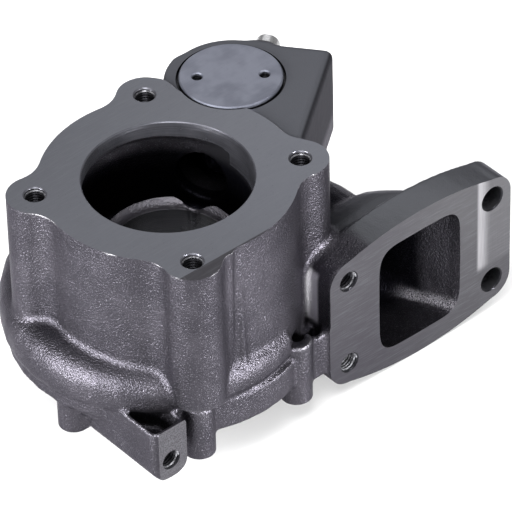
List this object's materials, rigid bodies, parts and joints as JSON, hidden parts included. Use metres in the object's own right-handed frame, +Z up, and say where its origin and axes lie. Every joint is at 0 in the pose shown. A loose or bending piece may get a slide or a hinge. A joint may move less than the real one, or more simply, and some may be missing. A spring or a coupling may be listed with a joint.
{
  "type": "turbocharger turbine housing",
  "caption": "Cast-iron turbocharger turbine housing with a scroll, a bolted inlet flange, a bolted round outlet and a closed wastegate pod.",
  "frame": {"origin": "on the turbine axis, at the lower faces of the mounting bosses", "axes": "+Z up the turbine axis, out of the outlet; the inlet flange faces -Y and lies on the +X side"},
  "size_m": [0.2347, 0.1589, 0.1259],
  "materials": {
    "casting": "rough cast with machined faces",
    "plug": "machined",
    "bush": "turned"
  },
  "bodies": {
    "root": {"turbine_housing": "casting", "wastegate_plug": "plug", "wastegate_bush": "bush"}
  },
  "joints": []
}
